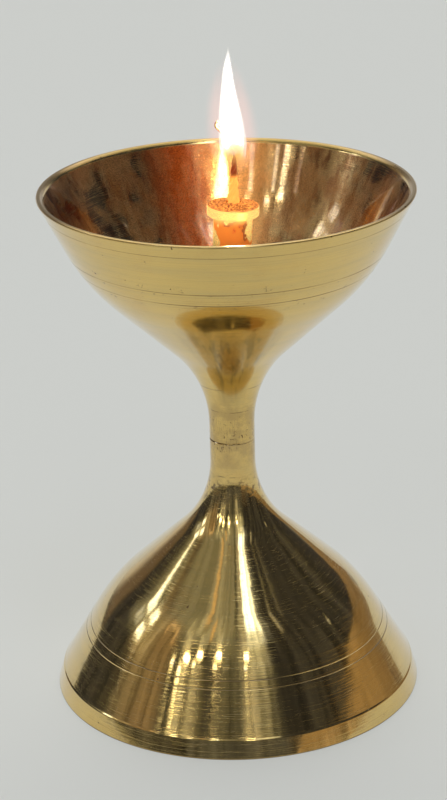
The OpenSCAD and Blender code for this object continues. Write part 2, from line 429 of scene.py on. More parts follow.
def make_stud():
    """The joining stud with its thread, which runs out at both bevelled ends."""
    turns, step = 64, THREAD_PITCH / 10
    low, high = stud_low.z, stud_high.z
    rows = int((high - low) / step)
    verts, faces = [(0, 0, low)], []
    for i in range(rows + 1):
        z = low + (high - low) * i / rows
        bevel = min(1.0, min(z - low, high - z) / STUD_BEVEL)
        for k in range(turns):
            phase = (z / THREAD_PITCH - k / turns) % 1
            flank = min(1.0, max(0.0, abs(phase - 0.5) * 2.6 - 0.3))
            r = min(STUD_R - THREAD_DEPTH * flank, STUD_R - STUD_BEVEL * (1 - bevel))
            turn = 2 * math.pi * k / turns
            verts.append((r * math.cos(turn), r * math.sin(turn), z))
    verts.append((0, 0, high))
    for k in range(turns):
        n = (k + 1) % turns
        faces.append((0, 1 + n, 1 + k))
        for i in range(rows):
            a, b = 1 + i * turns, 1 + (i + 1) * turns
            faces.append((a + k, a + n, b + n, b + k))
        faces.append((1 + rows * turns + k, 1 + rows * turns + n, len(verts) - 1))
    return add_object("joining_thread", verts, faces, 50)


def crust_lumps(p, turn):
    """Burnt oil that is heaped in the holder's dish round the wick, in lumps."""
    if p.x > DISH_R - 0.05 or p.y < HOLDER_H - 0.05:
        return p
    spot = Vector((p.x * math.cos(turn), p.x * math.sin(turn), 0))
    lump = noise.noise(spot * 1.1) + 0.6 * noise.noise(spot * 2.9)
    share = min(1.0, (DISH_R - p.x) / (DISH_R - BORE_R))
    return Vector((p.x, p.y - 0.12 + CRUST_RISE * share ** 1.3 + CRUST_LUMPS * lump * min(1.0, 4 * share)))


def make_holder():
    """The wick's tube: flange, dish, bore, peg, and oil holes drilled across its foot."""
    points = outline([
        (0, PEG_FOOT),
        (PEG_R, PEG_FOOT, PEG_EDGE),
        (PEG_R, -SPOT_DEPTH),
        (TUBE_R, -SPOT_DEPTH, EDGE),
        (TUBE_R, HOLDER_H - FLANGE_T, COVE),
        (FLANGE_R, HOLDER_H - FLANGE_T, FLANGE_EDGES[0]),
        (FLANGE_R, HOLDER_H, FLANGE_EDGES[1]),
        *((DISH_R - (DISH_R - BORE_R) * k / DISH_RINGS, HOLDER_H) for k in range(DISH_RINGS + 1)),
        (BORE_R, BORE_FLOOR),
        (0, BORE_FLOOR),
    ])
    holder = lathe("wick_tube", points, turns=128, wobble=crust_lumps)
    middle = Vector((0, 0, FEED_H))
    for across in ((1, 0, 0), (0, 1, 0)):
        reach = Vector(across) * 2 * TUBE_R
        drill = add_object("drill", *tube([middle - reach, middle, middle + reach], [FEED_R] * 3, 40))
        cut = holder.modifiers.new("oil_hole", "BOOLEAN")
        cut.operation, cut.solver, cut.object = "DIFFERENCE", "EXACT", drill
        graph = bpy.context.evaluated_depsgraph_get()
        mesh = bpy.data.meshes.new_from_object(holder.evaluated_get(graph))
        holder.modifiers.clear()
        holder.data = mesh
        bpy.data.objects.remove(drill)
    return on_holder_axis(holder)


def wick_radius(h):
    """Outer radius of the wick at a height over the bowl's floor."""
    if h < HOLDER_H - DISH_DEPTH:
        return WICK_R
    if h < CHAR_H:
        s = (h - HOLDER_H + DISH_DEPTH) / (CHAR_H - HOLDER_H + DISH_DEPTH)
        return WICK_R + (CHAR_R - WICK_R) * s * s * (3 - 2 * s)
    return CHAR_R + (TIP_R - CHAR_R) * (h - CHAR_H) / (TIP_H - CHAR_H)


def make_wick():
    """Twisted cotton strands, frayed and charred at the top, with one thread curling out of the flame."""
    parts = []
    steps = 150
    for strand in range(STRANDS):
        path, radii = [], []
        for i in range(steps + 1):
            h = WICK_FOOT + (TIP_H - WICK_FOOT) * i / steps
            r = wick_radius(h)
            turn = 2 * math.pi * (strand / STRANDS + h / TWIST)
            lumps = noise.noise(Vector((strand * 9.1, 0, h * 1.3)))
            reach = r * (0.5 + 0.06 * lumps)
            path.append(Vector((reach * math.cos(turn), reach * math.sin(turn), h)))
            radii.append(r * (0.47 + 0.05 * lumps))
        parts.append(tube(path, radii, 12))
    for _ in range(FIBRES):
        h = dice.uniform(HOLDER_H - 0.5, TIP_H - 1.5)
        turn = dice.uniform(0, 2 * math.pi)
        out = Vector((math.cos(turn), math.sin(turn), 0))
        start = out * (wick_radius(h) * 0.85) + Vector((0, 0, h))
        drift = Vector((dice.uniform(-1, 1), dice.uniform(-1, 1), dice.uniform(0.2, 1.2)))
        length = dice.uniform(0.25, 0.8)
        path = [start + (out * s + drift * s * s * 0.8) * length for s in (0, 0.35, 0.7, 1)]
        parts.append(tube(path, FIBRE_RADII, 4))
    path = curved([Vector(p) + Vector((0, 0, TIP_H)) for p in CURL])
    radii = [0.38 - 0.16 * math.sin(math.pi * min(1, 1.4 * i / len(path))) for i in range(len(path))]
    parts.append(tube(path, radii, 8))
    verts, faces = joined(parts)
    return on_holder_axis(add_object("twisted_wick", verts, faces, 60))


def make_oil():
    """The pool of oil, with a small meniscus at the bowl and at the tube."""
    cone = beside(BOWL_NECK, BOWL_SHOULDER, BOWL_WALL + OIL_INSET)
    level = FLOOR_Z + OIL_DEPTH
    edge_r = at_height(cone, level).x
    shift = math.tan(math.acos(LEAN_AXIS.z)) * OIL_DEPTH
    points = outline([
        (OIL_HOLE_R, OIL_FOOT),
        (*at_height(cone, OIL_FOOT), FLOOR_ROUND),
        at_height(cone, level + MENISCUS),
        (edge_r - MENISCUS, level + 0.06),
        (edge_r - 1.1, level),
        (OIL_HOLE_R + 1.0, level),
        (OIL_HOLE_R + 0.3, level + 0.07),
        (OIL_HOLE_R, level + MENISCUS),
        (OIL_HOLE_R, OIL_FOOT),
    ])
    oil = lathe("oil_pool", points, turns=160)
    near = (TUBE_R + 1.3) * MM
    for v in oil.data.vertices:
        r = math.hypot(v.co.x, v.co.y)
        if r < near:
            v.co.x += shift * MM * (v.co.z / MM - FLOOR_Z) / OIL_DEPTH
    return oil


def flame_radius(t):
    """Radius of the flame at a share of its height: widest at a quarter, drawn to a point above."""
    for (t0, w0), (t1, w1) in zip(FLAME_SHAPE, FLAME_SHAPE[1:]):
        if t <= t1:
            return FLAME_R * (w0 + (w1 - w0) * (t - t0) / (t1 - t0))
    return 0.0


def flame_middle(t, foot, top):
    """The flame rises from the wick's tip and sways to the left, then a little back."""
    sway = FLAME_SWAY * eased((t - 0.05) / 0.7) + 0.25 * eased((t - 0.78) / 0.17)
    return Vector((foot.x + sway, foot.y, foot.z + (top - foot.z) * t))


def make_flame(name, share, low, high):
    """One shell of the flame, at a share of its full width, between two shares of its height."""
    tip = Vector((0, 0, FLOOR_Z)) + LEAN_AXIS * TIP_H
    foot = tip - Vector((0, 0, FLAME_DROP))
    sides, steps = 40, 60
    slim = FLAME_SLIM if share <= 1 else 0.0
    verts, faces = [], []
    for i in range(steps + 1):
        t = low + (high - low) * (1 - math.cos(math.pi * i / steps)) / 2
        inner = (t - low) / (high - low)
        r = share * flame_radius(t) * (1 - slim * eased((t - 0.35) / 0.5))
        if share != 1:
            r *= math.sqrt(max(0, 4 * inner * (1 - inner))) ** 0.5
        centre = flame_middle(t, foot, FLAME_TOP)
        for k in range(sides):
            a = 2 * math.pi * k / sides
            verts.append(centre + Vector((math.cos(a), math.sin(a), 0)) * max(r, 0.004))
    for i in range(steps):
        for k in range(sides):
            n = (k + 1) % sides
            faces.append((i * sides + k, i * sides + n, (i + 1) * sides + n, (i + 1) * sides + k))
    faces.append(tuple(reversed(range(sides))))
    faces.append(tuple(range(len(verts) - sides, len(verts))))
    return add_object(name, verts, faces, 60)


class Nodes:
    """Short calls for building a node tree."""

    def __init__(self, tree):
        self.tree = tree
        tree.nodes.clear()

    def add(self, kind, *values, **settings):
        """A node with its settings, and its first inputs as numbers, colours or other nodes' outputs."""
        made = self.tree.nodes.new(kind)
        for key, value in settings.items():
            setattr(made, key, value)
        for i, value in enumerate(values):
            self.put(made, i, value)
        return made

    def put(self, made, key, value):
        """Sets a node's input to a value, or links it to another node's output."""
        if value is None:
            return
        if isinstance(value, bpy.types.NodeSocket):
            self.tree.links.new(value, made.inputs[key])
        else:
            made.inputs[key].default_value = value

    def fill(self, made, values):
        """Sets or links several inputs by their names."""
        for key, value in values.items():
            self.put(made, key, value)

    def math(self, operation, *values):
        """One step of arithmetic."""
        return self.add("ShaderNodeMath", *values, operation=operation).outputs[0]

    def ramp(self, value, low, high, to_low=0.0, to_high=1.0):
        """A smooth step of a value from low to high."""
        values = (value, low, high, to_low, to_high)
        return self.add("ShaderNodeMapRange", *values, interpolation_type="SMOOTHSTEP").outputs[0]

    def band(self, value, low, high, edge):
        """1 between low and high, with soft edges."""
        rise = self.ramp(value, low - edge, low + edge)
        fall = self.ramp(value, high - edge, high + edge, 1.0, 0.0)
        return self.math("MULTIPLY", rise, fall)

    def mix(self, factor, a, b):
        """Colour a changing to colour b."""
        made = self.add("ShaderNodeMix", data_type="RGBA")
        for i, value in ((0, factor), (6, a), (7, b)):
            self.put(made, i, value)
        return made.outputs[2]

    def noise(self, vector, scale, detail=3.0, roughness=0.55):
        """Soft noise from 0 to 1."""
        made = self.add("ShaderNodeTexNoise", vector)
        self.fill(made, {"Scale": scale, "Detail": detail, "Roughness": roughness})
        return made.outputs[0]

    def vector(self, x, y, z):
        """A vector from three values."""
        return self.add("ShaderNodeCombineXYZ", x, y, z).outputs[0]

    def bump(self, height, strength, distance, normal=None):
        """The normal of a surface that rises by a height times a distance in millimetres."""
        made = self.add("ShaderNodeBump")
        self.fill(made, {"Strength": strength, "Distance": distance * MM, "Height": height, "Normal": normal})
        return made.outputs[0]

    def show(self, shader):
        """Makes a shader the material's surface."""
        out = next(n for n in self.tree.nodes if n.type == "OUTPUT_MATERIAL")
        self.put(out, 0, shader.outputs[0])


def new_material(name):
    """A material with a Principled shader, and its node builder."""
    material = bpy.data.materials.new(name)
    material.use_nodes = True
    nodes = Nodes(material.node_tree)
    shader = nodes.add("ShaderNodeBsdfPrincipled")
    nodes.add("ShaderNodeOutputMaterial", shader.outputs[0])
    return material, nodes, shader


def place(nodes):
    """Object position in millimetres, as (vector, x, y, z, distance from the axis, turn about it)."""
    position = nodes.add("ShaderNodeTexCoord").outputs["Object"]
    large = nodes.add("ShaderNodeVectorMath", position, operation="SCALE")
    nodes.put(large, "Scale", 1 / MM)
    x, y, z = nodes.add("ShaderNodeSeparateXYZ", large.outputs[0]).outputs
    r = nodes.math("SQRT", nodes.math("ADD", product(nodes, x, x), product(nodes, y, y)))
    return large.outputs[0], x, y, z, r, nodes.math("ARCTAN2", y, x)


# Colours of the metal, its stains and films. The film's colours also paint the flame's glow on the bowl's
# inside, and the colour of the runs under the bowl paints a dark reflection.
BRASS = (0.82, 0.580, 0.185, 1)
BRASS_WARM = (0.74, 0.49, 0.15, 1)
BRASS_DULL = (0.66, 0.50, 0.20, 1)
BRASS_OILED = (0.66, 0.46, 0.19, 1)
STAIN = (0.32, 0.155, 0.052, 1)
PAINTED_REFLECTION_RUNS = (0.22, 0.175, 0.075, 1)
FILM_AND_GLOW = (0.80, 0.18, 0.028, 1)
FLAME_LIT = (1.0, 0.52, 0.18, 1)
OILY = (0.78, 0.38, 0.12, 1)
BURNT = (0.30, 0.035, 0.005, 1)
SCORCHED = (0.78, 0.17, 0.014, 1)
PATINA = (0.16, 0.09, 0.03, 1)
STEM_TARNISH = (0.50, 0.34, 0.125, 1)
CRUST = ((0.13, 0.022, 0.004, 1), (0.84, 0.32, 0.06, 1))

# The flame's light on the bowl's inside and on the holder's head
FLAME_GLOW = (1.0, 0.42, 0.10, 1)
PAINTED_LIGHT_BRASS = (1.0, 0.68, 0.20, 1)
FILM_AND_GLOW_TURN = 1.7
GLOW_TURN = 1.45
WALL_GLOW = 0.22
HOLDER_GLOW = 0.95
GLOW_FROM, GLOW_FULL = 15, 2
LEAST_GLOW = 1.6

# Pairs of colours that fibres or clouds mix
SOAKED = ((0.40, 0.19, 0.04, 1), (0.62, 0.36, 0.10, 1))
CHARRED = ((0.018, 0.012, 0.010, 1), (0.10, 0.03, 0.012, 1))
ASHEN = ((0.30, 0.16, 0.07, 1), (0.80, 0.66, 0.46, 1))
LIT_THROUGH = ((0.95, 0.36, 0.04, 1), (1.0, 0.56, 0.13, 1))
RED_HOT = ((0.35, 0.02, 0.002, 1), (0.85, 0.12, 0.01, 1))
EMBER = ((0.5, 0.15, 0.03, 1), (0.8, 0.45, 0.18, 1))
GOLDEN_OIL = ((0.93, 0.66, 0.16, 1), (0.97, 0.77, 0.27, 1))

# How much roughness each mark adds
SCRATCH_ROUGH = 0.04
CLOUD_ROUGH = 0.05
DARK_ROUGH = 0.3
HAIRLINE_ROUGH = 0.21
RIM_ROUGH = 0.22
FILM_ROUGH = 0.72
TURNED_ROUGH = 0.24
CAST_ROUGH = 0.7
BURNT_ROUGH = 0.45


def streaks(nodes, turn, along, per_turn, per_mm, low, high):
    """Marks drawn out round or up the turned surface, by how often they change each way."""
    spot = nodes.vector(product(nodes, turn, per_turn), 0.0, product(nodes, along, per_mm))
    return nodes.ramp(nodes.noise(spot, 1.0, 4, 0.65), low, high)


def folded(nodes, operation, values):
    """Several values joined by one operation."""
    total = values[0]
    for value in values[1:]:
        total = nodes.math(operation, total, value)
    return total


def largest(nodes, values):
    """The largest of several values."""
    return folded(nodes, "MAXIMUM", values)


def product(nodes, *values):
    """All the values multiplied."""
    return folded(nodes, "MULTIPLY", values)


def facing(nodes, turn, middle):
    """1 where the turn about the axis is middle, and less to both sides."""
    return nodes.math("COSINE", nodes.math("SUBTRACT", turn, middle))


def oil_film(nodes, position, turn, along):
    """The bowl's inside: stained brass with turning marks, and a fine-grained scorched film whose warm and red
    colours gather on the wall that mirrors the flame from the front, as painted flame glow; beside that, an
    emission paints the flame's light on the wall.
    """
    # Painted flame glow: the film is thickest and reddest on the wall that mirrors the flame, seen from the
    # front.
    film_and_glow_side = nodes.ramp(facing(nodes, turn, FILM_AND_GLOW_TURN), 0.86, 0.985)
    patches = nodes.ramp(nodes.noise(position, 0.09, 2, 0.5), 0.36, 0.62, 0.10, 0.72)
    thick = nodes.math("MAXIMUM", product(nodes, film_and_glow_side, 0.9), patches)
    film = product(nodes, nodes.ramp(nodes.noise(position, 9.0, 2), 0.42, 0.52), thick)
    stained = nodes.mix(streaks(nodes, turn, along, 13.0, 0.08, 0.42, 0.62), BRASS_OILED, STAIN)
    scorched = nodes.mix(nodes.ramp(turn, 1.5, 1.8), FLAME_LIT, FILM_AND_GLOW)
    scorched = nodes.mix(film_and_glow_side, OILY, scorched)
    marks = streaks(nodes, turn, along, 4.0, 9.0, 0.50, 0.62)
    rough = nodes.math("ADD", product(nodes, film, FILM_ROUGH), product(nodes, marks, TURNED_ROUGH))
    # Painted flame light: emission on the wall beside the flame's mirror image.
    beside_flame = nodes.ramp(facing(nodes, turn, GLOW_TURN), 0.97, 0.998)
    glow = product(nodes, beside_flame, nodes.ramp(along, 120, 150), WALL_GLOW)
    return nodes.mix(film, stained, scorched), rough, glow


def raw_casting(nodes, position, turn, along):
    """The base's hollow: the skin of the casting, never polished."""
    skin = nodes.noise(position, 1.1, 5, 0.7)
    return nodes.mix(skin, STEM_TARNISH, BRASS_DULL), product(nodes, skin, CAST_ROUGH), None


def dark_marks(nodes, position, z, turn, along, lines, tool_marks):
    """Where dirt has settled: pits, the worn seam, the collar and the cut lines; and painted contact shade
    along the foot's bottom edge.
    """
    pits = nodes.ramp(nodes.noise(position, 0.8, 2, 0.5), 0.735, 0.765)
    near_seam = nodes.band(z, SEAM_Z - 4.5, SEAM_Z + 7, 2)
    hatching = streaks(nodes, turn, along, 26.0, 0.35, 0.54, 0.66)
    patchy = nodes.ramp(nodes.noise(position, 0.28, 2), 0.40, 0.55)
    worn = nodes.ramp(nodes.noise(position, 1.3, 3, 0.6), 0.59, 0.66)
    hatched = largest(nodes, [product(nodes, hatching, 0.75), worn])
    collar = nodes.band(z, SEAM_Z - 15, SEAM_Z - 10, 2)
    smudged = nodes.ramp(nodes.noise(position, 0.6, 4, 0.7), 0.50, 0.60)
    by_lines = nodes.band(z, RIM_Z - 18.5, RIM_Z - 11.5, 1.5)
    spotted = nodes.ramp(nodes.noise(position, 0.55, 5, 0.72), 0.62, 0.68)
    marks = [
        pits,
        product(nodes, near_seam, patchy, hatched, 0.75),
        product(nodes, collar, smudged, 0.7),
        product(nodes, by_lines, spotted, 0.6),
    ]
    uneven = nodes.ramp(nodes.noise(nodes.vector(turn, 0.0, z), 1.5, 3), 0.42, 0.60, 0.25, 1.0)
    gaping = nodes.ramp(nodes.math("COSINE", turn), -0.8, 0.1, 1.0, 0.25)
    for h, depth in lines:
        spread = gaping if h == SEAM_Z else uneven
        marks.append(product(nodes, nodes.band(z, h - 0.1, h + 0.1, 0.06), spread, depth))
    for h in tool_marks:
        broken = nodes.ramp(nodes.noise(nodes.vector(turn, 0.0, h), 2.0, 3), 0.45, 0.6)
        marks.append(product(nodes, nodes.band(z, h - 0.08, h + 0.08, 0.06), broken, 0.7))
    # Painted contact shade: the foot's bottom edge darkens where it meets the floor.
    marks.append(nodes.ramp(z, 0.15, 0.5, 0.85, 0.0))
    return largest(nodes, marks)


def brass(name, slope, lines=(), tool_marks=(), roughness=0.037, warm=0.5, coat=0.7, inner=None, burnt=None):
    """Turned and polished brass: rings of the tool, fine scratches, faint tarnish, dirt in the cut lines.

    slope says how a height and a radius add up along the outline, so that the rings follow it. lines are
    (height, darkness) pairs, and tool_marks the heights of fainter ones. inner(nodes, position, turn, along)
    gives the inside's colour, added roughness and glow, if any. burnt(nodes, position, x, y, z) gives where
    burnt oil covers the brass, and its colour. Burnt brass also glows, for the flame's light on it."""
    material, nodes, shader = new_material(name)
    position, x, y, z, r, turn = place(nodes)
    along = nodes.math("ADD", z, product(nodes, r, slope))
    drift = nodes.noise(position, 0.35, 2)
    ring_place = nodes.vector(0.0, 0.0, nodes.math("ADD", along, product(nodes, drift, 0.25)))
    rings = nodes.noise(ring_place, 1.5, 2, 0.45)
    grooves = nodes.ramp(nodes.noise(ring_place, 3.4, 2, 0.5), 0.56, 0.68)
    cloud = nodes.noise(position, 0.09, 4)
    smears = streaks(nodes, turn, along, 1.1, 0.22, 0.40, 0.70)
    scratch = streaks(nodes, turn, along, 1.6, 6.0, 0.60, 0.72)
    hairlines = streaks(nodes, turn, along, 4.0, 9.0, 0.54, 0.65)
    stem = nodes.band(z, SEAM_Z - 8, SEAM_Z + 12, 5)
    blotches = nodes.ramp(nodes.noise(position, 0.3, 4, 0.65), 0.38, 0.62, 0.2, 0.7)
    # Painted dark reflection: dark runs on the bowl's underside, at the front only.
    under_bowl = nodes.band(z, SEAM_Z + 14, SEAM_Z + 36, 5)
    runs = nodes.ramp(streaks(nodes, turn, along, 7.0, 0.05, 0.45, 0.62), 0.0, 1.0, 0.40, 0.80)
    at_front = nodes.ramp(nodes.math("SINE", turn), -0.85, -0.97)
    rim_edge = nodes.ramp(z, RIM_Z - 0.6, RIM_Z - 0.3)
    # Tarnish on the rim's edge, and painted shade that makes it darker to the left and right, as seen from the
    # front.
    tarnish_and_side_shade = nodes.ramp(nodes.math("ABSOLUTE", nodes.math("COSINE", turn)), 0.55, 0.9, 0.2, 0.5)
    dark = dark_marks(nodes, position, z, turn, along, lines, tool_marks)
    layers = (
        (product(nodes, smears, 0.45), BRASS_DULL),
        (product(nodes, scratch, 0.22), PATINA),
        (product(nodes, grooves, 0.14), PATINA),
        (nodes.ramp(rings, 0.5, 0.75, 0.0, 0.35), BRASS_WARM),
        (product(nodes, stem, blotches), STEM_TARNISH),
        (product(nodes, under_bowl, at_front, runs), PAINTED_REFLECTION_RUNS),
        (product(nodes, rim_edge, tarnish_and_side_shade), STAIN),
        (dark, PATINA),
    )
    colour = nodes.mix(nodes.ramp(cloud, 0.42, 0.72, 0.0, warm), BRASS, BRASS_WARM)
    for share, layer in layers:
        colour = nodes.mix(share, colour, layer)
    rougher = (
        (scratch, SCRATCH_ROUGH), (cloud, CLOUD_ROUGH), (dark, DARK_ROUGH),
        (hairlines, HAIRLINE_ROUGH), (rim_edge, RIM_ROUGH),
    )
    rough = folded(nodes, "ADD", [product(nodes, value, amount) for value, amount in rougher])
    if inner:
        inside = nodes.add("ShaderNodeAttribute", attribute_name="inside").outputs["Fac"]
        inner_colour, inner_rough, glow = inner(nodes, position, turn, along)
        if glow is not None:
            nodes.put(shader, "Emission Color", FLAME_GLOW)
            nodes.put(shader, "Emission Strength", product(nodes, inside, glow))
        colour = nodes.mix(inside, colour, inner_colour)
        turned = product(nodes, rough, nodes.math("SUBTRACT", 1.0, inside))
        rough = nodes.math("ADD", turned, product(nodes, inside, inner_rough))
    rough = nodes.math("ADD", rough, roughness)

    metal, varnish = 1.0, coat
    if burnt:
        cover, burnt_colour = burnt(nodes, position, x, y, z)
        colour = nodes.mix(cover, colour, burnt_colour)
        rough = nodes.math("ADD", rough, product(nodes, cover, BURNT_ROUGH))
        metal = nodes.math("SUBTRACT", 1.0, cover)
        varnish = product(nodes, metal, coat)
        head = FLOOR_Z + HOLDER_H * LEAN_AXIS.z
        nodes.put(shader, "Specular IOR Level", 0.15)
        # Painted flame light: the holder's head glows in the colours of its brass and its burnt oil.
        nodes.put(shader, "Emission Color", nodes.mix(cover, PAINTED_LIGHT_BRASS, burnt_colour))
        glow = nodes.ramp(z, head - GLOW_FROM, head - GLOW_FULL, 0.0, HOLDER_GLOW)
        nodes.put(shader, "Emission Strength", glow)
    normal = nodes.bump(nodes.noise(position, 0.16, 2), 0.4, 0.12)
    normal = nodes.bump(rings, 1.0, 0.011, normal)
    nodes.fill(shader, {
        "Base Color": colour,
        "Metallic": metal,
        "Roughness": rough,
        "Coat Weight": varnish,
        "Coat Roughness": 0.04,
        "Anisotropic": 0.95,
        "Anisotropic Rotation": 0.25,
        "Tangent": nodes.add("ShaderNodeTangent", direction_type="RADIAL", axis="Z").outputs[0],
        "Normal": nodes.bump(grooves, 1.0, 0.004, normal),
    })
    return material


def burnt_oil(nodes, position, x, y, z):
    """A speckled crust in the holder's dish, and burnt oil down the tube, most of it in the middle."""
    grain = nodes.noise(position, 2.2, 5, 0.7)
    top = Vector((0, 0, FLOOR_Z)) + LEAN_AXIS * HOLDER_H
    off_centre = nodes.math("SUBTRACT", x, top.x)
    square = nodes.math("ADD", product(nodes, off_centre, off_centre), product(nodes, y, y))
    within = nodes.ramp(nodes.math("SQRT", square), FLANGE_R - 0.25, FLANGE_R + 0.05, 1.0, 0.0)
    crust = product(nodes, nodes.ramp(z, top.z - 0.65, top.z - 0.35), within)
    scorched = nodes.noise(position, 0.30, 3, 0.5)
    middle = nodes.ramp(nodes.math("ABSOLUTE", off_centre), 2.7, 3.7, 0.12, -0.05)
    patches = nodes.ramp(nodes.math("ADD", scorched, middle), 0.46, 0.54)
    tube_only = nodes.band(z, FLOOR_Z + 8, top.z - FLANGE_T - 0.6, 1.5)
    cover = largest(nodes, [crust, product(nodes, patches, tube_only, 0.9)])
    speckled = nodes.mix(nodes.ramp(grain, 0.42, 0.64), *CRUST)
    on_tube = nodes.mix(nodes.ramp(scorched, 0.45, 0.53), BURNT, SCORCHED)
    return cover, nodes.mix(crust, on_tube, speckled)


def cotton():
    """Oil-soaked cotton that turns brown, then black with a red glow, towards the flame. From the holder up it
    also glows orange: painted flame light shining through the cotton.
    """
    material, nodes, shader = new_material("wick_cotton")
    _, x, y, z = place(nodes)[:4]
    drawn_out = nodes.vector(product(nodes, x, 5.0), product(nodes, y, 5.0), z)
    fibres = nodes.noise(drawn_out, 2.4, 6, 0.7)
    char_z, tip_z, head_z = FLOOR_Z + CHAR_H, FLOOR_Z + TIP_H, FLOOR_Z + HOLDER_H
    height = nodes.math("ADD", z, product(nodes, fibres, 0.8))
    singed = nodes.ramp(height, char_z - 0.4, char_z + 1.3)
    ash = nodes.ramp(z, tip_z + 6.5, tip_z + 8)
    cover = nodes.mix(singed, nodes.mix(fibres, *SOAKED), nodes.mix(fibres, *CHARRED))
    # Painted flame light through the soaked cotton; the charred part glows red as embers do.
    light = nodes.mix(singed, nodes.mix(fibres, *LIT_THROUGH), nodes.mix(fibres, *RED_HOT))
    lit = nodes.ramp(z, head_z - 3, head_z + 1.5, 0.0, 0.95)
    nodes.fill(shader, {
        "Base Color": nodes.mix(ash, cover, nodes.mix(fibres, *ASHEN)),
        "Roughness": 0.7,
        "Subsurface Weight": 0.15,
        "Subsurface Scale": 0.4 * MM,
        "Emission Color": nodes.mix(ash, light, nodes.mix(fibres, *EMBER)),
        "Emission Strength": product(nodes, lit, nodes.ramp(singed, 0.0, 1.0, 1.0, 0.45)),
        "Normal": nodes.bump(fibres, 0.6, 0.12),
    })
    return material


def oil_material():
    """Clear golden lamp oil."""
    material, nodes, shader = new_material("lamp_oil")
    cloud = nodes.noise(place(nodes)[0], 0.12, 3)
    nodes.fill(shader, {
        "Base Color": nodes.mix(cloud, *GOLDEN_OIL),
        "Roughness": product(nodes, cloud, 0.03),
        "IOR": 1.47,
        "Transmission Weight": 1.0,
    })
    return material


def fire(name, colour_low, colour_high, strength, alpha, start, reach, hollow, veil=False):
    """One shell of flame. It fades in over a reach of height from a start over its foot, later near the wick
    by hollow, deeper in colour low down, and fades out at the tip. A veil also thins out to each side, so
    that it has no edge from the front, from behind and from the sides."""
    material, nodes, shader = new_material(name)
    position, x, y, z = place(nodes)[:4]
    tip = Vector((0, 0, FLOOR_Z)) + LEAN_AXIS * TIP_H
    low = tip.z - FLAME_DROP
    foot = low + start
    aside = nodes.math("ABSOLUTE", nodes.math("SUBTRACT", x, tip.x))
    late = nodes.ramp(aside, 0.6, 2.8, hollow, 0.0)
    flicker = product(nodes, nodes.math("SUBTRACT", nodes.noise(position, 0.4, 2), 0.5), 4.0)
    level = nodes.math("SUBTRACT", nodes.math("ADD", z, flicker), late)
    rise = nodes.ramp(level, foot, foot + reach)
    fade = nodes.ramp(z, FLAME_TOP - 6, FLAME_TOP - 1, 1.0, 0.0)
    hot = product(nodes, nodes.math("POWER", rise, 3.0), strength)
    thin = product(nodes, rise, fade, alpha)
    if veil:
        height = FLAME_TOP - low
        sway = nodes.ramp(z, low + 0.05 * height, low + 0.75 * height, tip.x, tip.x + FLAME_SWAY)
        depth = nodes.math("SINE", nodes.math("ARCTAN2", y, nodes.math("SUBTRACT", x, sway)))
        square = product(nodes, depth, depth)
        middle = nodes.math("SUBTRACT", 1.0, nodes.math("POWER", square, 4.0))
        upper = nodes.ramp(z, FLAME_TOP - 18, FLAME_TOP - 3, 1.0, 0.0)
        thin = product(nodes, thin, square, square, middle, upper)
    nodes.fill(shader, {
        "Base Color": (0.0, 0.0, 0.0, 1),
        "Emission Color": nodes.mix(nodes.ramp(rise, 0.7, 1.0), colour_low, colour_high),
        "Emission Strength": nodes.math("MAXIMUM", hot, LEAST_GLOW),
        "Alpha": thin,
        "Specular IOR Level": 0.0,
        "Roughness": 1.0,
    })
    return material


def dress(obj, material, body, node):
    """Gives a piece its material and its body, and hides the CAD node that it stands for."""
    obj.data.materials.clear()
    obj.data.materials.append(material)
    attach(obj, body)
    if node:
        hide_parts(node)
    return obj


base_finish = brass(
    "base_brass", -1.0, BASE_LINES + (SEAM_LINE,), BASE_TOOL_MARKS, coat=1.0, inner=raw_casting,
)
bowl_finish = brass("bowl_brass", 1.0, BOWL_LINES + (SEAM_LINE,), BOWL_TOOL_MARKS, inner=oil_film)
stud_finish = brass("stud_brass", 0.5, roughness=0.255, warm=0.9)
holder_finish = brass("holder_brass", 1.0, roughness=0.235, warm=0.8, coat=0.25, burnt=burnt_oil)
dress(make_base(), base_finish, "base", "base")
dress(make_bowl(), bowl_finish, "bowl", "bowl")
dress(make_stud(), stud_finish, "stud", "joining_stud")
dress(make_holder(), holder_finish, "holder", "wick_holder")
dress(make_oil(), oil_material(), "bowl", "lamp_oil")
dress(make_wick(), cotton(), "wick", "wick")

# The flame's colours and shells: (name, share of its width, from and to a share of its height, node, look)
WHITE_HOT = (1.0, 0.72, 0.42, 1)
YELLOW = (1.0, 0.70, 0.22, 1)
ORANGE = (1.0, 0.56, 0.14, 1)
PALE = (1.0, 0.96, 0.88, 1)
HALO = (1.0, 0.51, 0.42, 1)
SHELLS = (
    ("flame_core", 0.80, 0.17, 0.88, None, (YELLOW, WHITE_HOT, 110.0, 0.95, 5.0, 4.5, 1.0)),
    ("flame_mantle", 0.92, 0.08, 0.95, None, (YELLOW, PALE, 1.6, 0.5, 2.0, 6.5, 2.0)),
    ("flame_edge", 1.00, 0.0, 1.0, "flame", (ORANGE, PALE, 1.6, 0.2, 0.5, 7.0, 1.0)),
    ("flame_halo", 2.30, 0.02, 0.985, None, (HALO, HALO, 1.8, 0.25, 0.0, 7.0, 0.0, True)),
)
for name, share, low, high, node, look in SHELLS:
    dress(make_flame(name, share, low, high), fire(name, *look), "wick", node)


